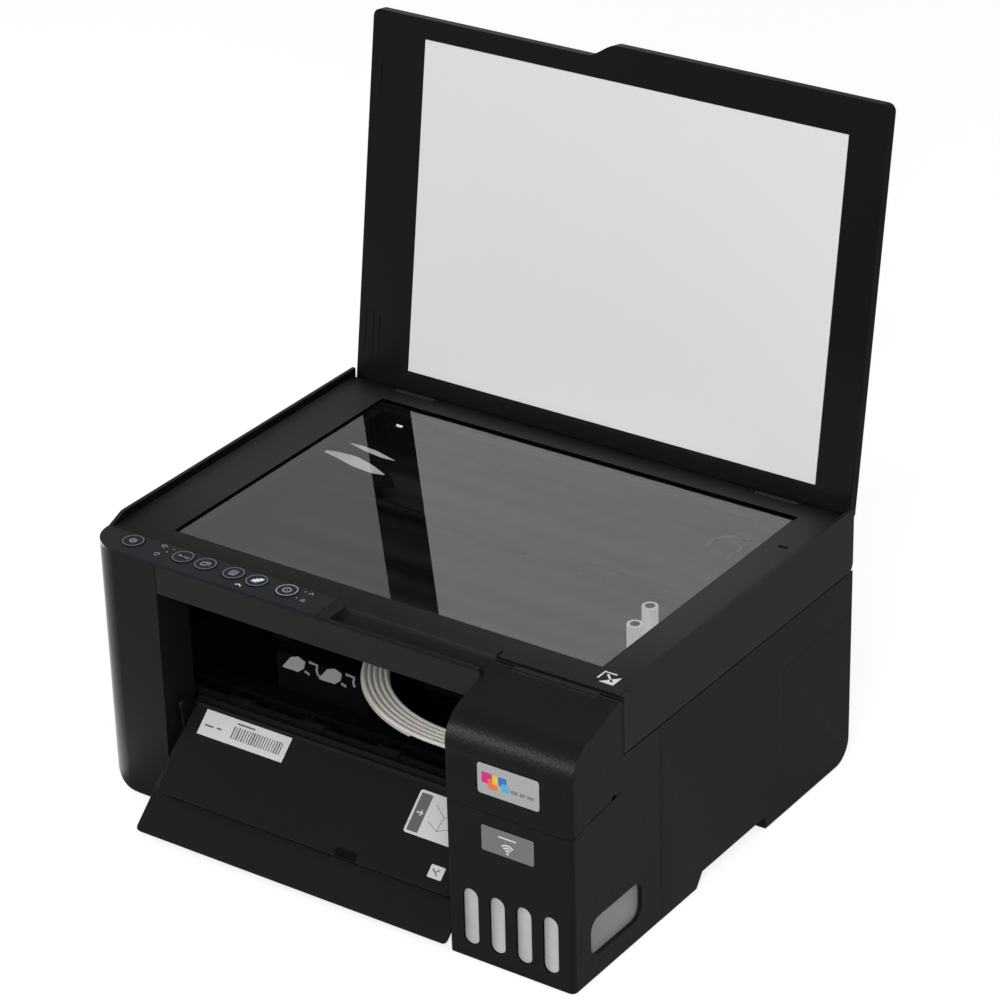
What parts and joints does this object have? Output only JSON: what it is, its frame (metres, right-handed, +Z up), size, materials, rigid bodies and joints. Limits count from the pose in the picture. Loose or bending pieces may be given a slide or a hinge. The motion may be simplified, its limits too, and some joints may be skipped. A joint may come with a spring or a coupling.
{
  "type": "ink tank inkjet printer with flatbed scanner",
  "caption": "All-in-one inkjet printer with ink tanks at the front right, a flatbed scanner with an open lid, control panel, swing-down front cover, rear paper feeder and sliding trays.",
  "frame": {"origin": "middle of the printer's footprint with the lid and covers closed, at table height", "axes": "+X to the printer's right as seen from its front, +Y to its back, +Z up"},
  "size_m": [0.375, 0.3556, 0.4209],
  "materials": {
    "case_black": "fine texture",
    "top_black": "satin",
    "panel_black": "smooth",
    "rubber": "matt",
    "steel": "plain sheet and turned bar",
    "tank_plastic": "cloudy, lets light through",
    "white_plastic": "smooth",
    "grey_plastic": "smooth",
    "board_green": "lacquered",
    "glass": "polished"
  },
  "bodies": {
    "base": {"base_pan": "case_black", "left_cover": "case_black", "right_cover": "case_black", "corner_panel": "case_black", "rear_cover": "case_black", "front_sill": "case_black", "feet": "rubber", "case_screws": "steel", "tank_housing": "case_black", "ink_tank_1": "tank_plastic", "ink_tank_2": "tank_plastic", "ink_tank_3": "tank_plastic", "ink_tank_4": "tank_plastic", "ink_caps": "case_black", "type_plate": "grey_plastic", "carriage_frame": "steel", "carriage_rail": "steel", "timing_belt": "rubber", "carriage_motor": "steel", "ink_tubes": "tank_plastic", "platen": "case_black", "star_wheel_bar": "case_black", "cap_station": "grey_plastic", "power_supply": "grey_plastic", "mains_inlet": "panel_black", "main_board": "board_green", "feeder_housing": "case_black"},
    "scanner": {"scanner_case": "case_black", "scanner_frame": "top_black", "scanner_glass": "glass", "guide_rod": "steel", "flat_cable": "white_plastic", "belt_pulleys": "white_plastic", "control_panel": "panel_black", "panel_board": "board_green", "lid_hinges": "case_black"},
    "scan_bar": {"scan_bar": "case_black"},
    "lid": {"lid_shell": "case_black", "lid_mat": "white_plastic"},
    "power_button": {"button_power": "panel_black"},
    "wifi_button": {"button_wifi": "panel_black"},
    "page_button": {"button_page": "panel_black"},
    "mono_button": {"button_mono": "panel_black"},
    "colour_button": {"button_colour": "panel_black"},
    "stop_button": {"button_stop": "panel_black"},
    "tank_cover": {"tank_cover": "case_black", "tank_badge": "white_plastic"},
    "front_cover": {"front_cover_shell": "case_black", "front_cover_panel": "top_black"},
    "tray": {"output_tray": "top_black"},
    "tray_extension": {"tray_extension": "top_black"},
    "print_carriage": {"print_carriage": "case_black", "carriage_latches": "white_plastic", "print_head": "steel"},
    "feed_roller": {"feed_roller": "steel"},
    "exit_roller": {"exit_roller": "steel"},
    "paper_support": {"paper_support": "case_black"},
    "feeder_guard": {"feeder_guard": "case_black"},
    "left_guide": {"edge_guide_left": "top_black"},
    "right_guide": {"edge_guide_right": "top_black"}
  },
  "joints": [
    {"name": "scanner_lift", "type": "hinge", "parent": "base", "child": "scanner", "pos_m": [0, 0.1289, 0.1399], "axis": [-1, 0, 0], "range_deg": [0, 20]},
    {"name": "lid_swing", "type": "hinge", "parent": "scanner", "child": "lid", "pos_m": [0, 0.1319, 0.1691], "axis": [1, 0, 0], "range_deg": [0, 98.3]},
    {"name": "scan_bar_travel", "type": "slide", "parent": "scanner", "child": "scan_bar", "axis": [1, 0, 0], "range_m": [0, 0.315]},
    {"name": "tank_cover_swing", "type": "hinge", "parent": "base", "child": "tank_cover", "pos_m": [0, -0.124, 0.1684], "axis": [-1, 0, 0], "range_deg": [0, 70]},
    {"name": "front_cover_swing", "type": "hinge", "parent": "base", "child": "front_cover", "pos_m": [0, -0.124, 0.0691], "axis": [-1, 0, 0], "range_deg": [0, 132.3]},
    {"name": "tray_pull", "type": "slide", "parent": "base", "child": "tray", "axis": [0, -1, 0], "range_m": [0, 0.15]},
    {"name": "tray_extension_pull", "type": "slide", "parent": "tray", "child": "tray_extension", "axis": [0, -1, 0], "range_m": [0, 0.11]},
    {"name": "carriage_travel", "type": "slide", "parent": "base", "child": "print_carriage", "axis": [1, 0, 0], "range_m": [-0.057, 0.195]},
    {"name": "feed_roller_spin", "type": "hinge", "parent": "base", "child": "feed_roller", "pos_m": [0, -0.0095, 0.056], "axis": [1, 0, 0], "continuous": true},
    {"name": "exit_roller_spin", "type": "hinge", "parent": "base", "child": "exit_roller", "pos_m": [0, -0.0895, 0.057], "axis": [1, 0, 0], "continuous": true},
    {"name": "paper_support_pull", "type": "slide", "parent": "base", "child": "paper_support", "axis": [0, 0, 1], "range_m": [0, 0.11]},
    {"name": "feeder_guard_swing", "type": "hinge", "parent": "base", "child": "feeder_guard", "pos_m": [0, 0.15, 0.1516], "axis": [1, 0, 0], "range_deg": [0, 70]},
    {"name": "right_guide_slide", "type": "slide", "parent": "base", "child": "right_guide", "axis": [-1, 0, 0], "range_m": [0, 0.05]},
    {"name": "left_guide_slide", "type": "slide", "parent": "base", "child": "left_guide", "axis": [1, 0, 0], "range_m": [0, 0.05]},
    {"name": "power_press", "type": "slide", "parent": "scanner", "child": "power_button", "axis": [0, 0, -1], "range_m": [0, 0.0005], "stiffness_N_per_m": 400, "springref_m": -0.0003},
    {"name": "wifi_press", "type": "slide", "parent": "scanner", "child": "wifi_button", "axis": [0, 0, -1], "range_m": [0, 0.0005], "stiffness_N_per_m": 400, "springref_m": -0.0003},
    {"name": "page_press", "type": "slide", "parent": "scanner", "child": "page_button", "axis": [0, 0, -1], "range_m": [0, 0.0005], "stiffness_N_per_m": 400, "springref_m": -0.0003},
    {"name": "mono_press", "type": "slide", "parent": "scanner", "child": "mono_button", "axis": [0, 0, -1], "range_m": [0, 0.0005], "stiffness_N_per_m": 400, "springref_m": -0.0003},
    {"name": "colour_press", "type": "slide", "parent": "scanner", "child": "colour_button", "axis": [0, 0, -1], "range_m": [0, 0.0005], "stiffness_N_per_m": 400, "springref_m": -0.0003},
    {"name": "stop_press", "type": "slide", "parent": "scanner", "child": "stop_button", "axis": [0, 0, -1], "range_m": [0, 0.0005], "stiffness_N_per_m": 400, "springref_m": -0.0003}
  ],
  "couplings": [
    {"joint": "exit_roller_spin", "follows": "feed_roller_spin", "ratio": 1.2},
    {"joint": "left_guide_slide", "follows": "right_guide_slide", "ratio": 1}
  ]
}
